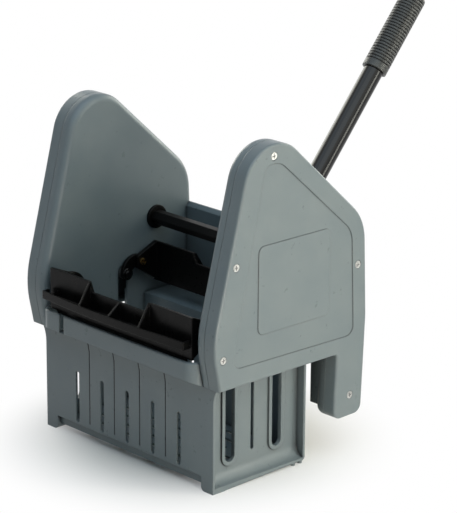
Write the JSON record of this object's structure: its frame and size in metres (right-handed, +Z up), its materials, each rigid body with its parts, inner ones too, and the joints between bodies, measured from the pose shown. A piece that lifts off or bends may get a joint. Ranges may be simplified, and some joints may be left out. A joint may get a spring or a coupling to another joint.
{
  "type": "mop wringer",
  "caption": "Down-press mop wringer: slotted basket between two tall wings, with a geared hand lever that folds two press plates over the mop and drives them down the side slots.",
  "frame": {"origin": "on the floor under the basket, at its middle in width and depth", "axes": "+X to the right seen from the front, +Y to the rear where the handle leans, +Z up"},
  "size_m": [0.35, 0.4602, 0.5498],
  "materials": {
    "grey_plastic": "satin",
    "black_plastic": "satin",
    "black_steel": "gloss",
    "black_alloy": "gloss",
    "zinc_steel": "satin",
    "dark_nylon": "satin",
    "grip_rubber": "matte",
    "brass": "satin"
  },
  "bodies": {
    "frame": {"body": "grey_plastic", "left_cover": "grey_plastic", "right_cover": "grey_plastic", "left_cover_screws": "zinc_steel", "right_cover_screws": "zinc_steel", "left_cover_bush": "dark_nylon", "right_cover_bush": "dark_nylon", "left_return_spring": "zinc_steel", "right_return_spring": "zinc_steel"},
    "handle": {"hex_shaft": "black_steel", "left_shaft_bush": "black_plastic", "right_shaft_bush": "black_plastic", "left_sector_gear": "dark_nylon", "right_sector_gear": "dark_nylon", "shaft_end_screws": "zinc_steel", "handle_hub": "black_alloy", "handle_tube": "black_steel", "handle_grip": "grip_rubber", "handle_bolt": "zinc_steel", "handle_nut": "zinc_steel"},
    "left_carriage": {"left_carriage": "dark_nylon", "left_press_pins": "black_steel", "left_slot_bushes": "dark_nylon", "left_pin_clips": "black_steel"},
    "right_carriage": {"right_carriage": "dark_nylon", "right_press_pins": "black_steel", "right_slot_bushes": "dark_nylon", "right_pin_clips": "black_steel"},
    "front_plate": {"front_press_plate": "black_plastic", "front_left_link": "black_plastic", "front_right_link": "black_plastic", "front_link_rivets": "brass"},
    "rear_plate": {"rear_press_plate": "black_plastic", "rear_left_link": "black_plastic", "rear_right_link": "black_plastic", "rear_link_rivets": "brass"}
  },
  "joints": [
    {"name": "handle_swing", "type": "hinge", "parent": "frame", "child": "handle", "pos_m": [0, 0.0952, 0.2494], "axis": [1, 0, 0], "range_deg": [0, 95]},
    {"name": "left_press_slide", "type": "slide", "parent": "frame", "child": "left_carriage", "axis": [0, 0, -1], "range_m": [0, 0.0962], "stiffness_N_per_m": 60, "springref_m": -0.1, "deforming": ["left_return_spring"]},
    {"name": "right_press_slide", "type": "slide", "parent": "frame", "child": "right_carriage", "axis": [0, 0, -1], "range_m": [0, 0.0962], "stiffness_N_per_m": 60, "springref_m": -0.1, "deforming": ["right_return_spring"]},
    {"name": "front_plate_fold", "type": "hinge", "parent": "right_carriage", "child": "front_plate", "pos_m": [0, -0.0405, 0.185], "axis": [1, 0, 0], "range_deg": [-90, 0]},
    {"name": "rear_plate_fold", "type": "hinge", "parent": "right_carriage", "child": "rear_plate", "pos_m": [0, 0.0379, 0.185], "axis": [1, 0, 0], "range_deg": [0, 90]}
  ],
  "couplings": [
    {"joint": "left_press_slide", "follows": "handle_swing", "m_per_rad": 0.058},
    {"joint": "right_press_slide", "follows": "handle_swing", "m_per_rad": 0.058},
    {"joint": "front_plate_fold", "follows": "handle_swing", "ratio": -0.9473},
    {"joint": "rear_plate_fold", "follows": "handle_swing", "ratio": 0.9473}
  ]
}
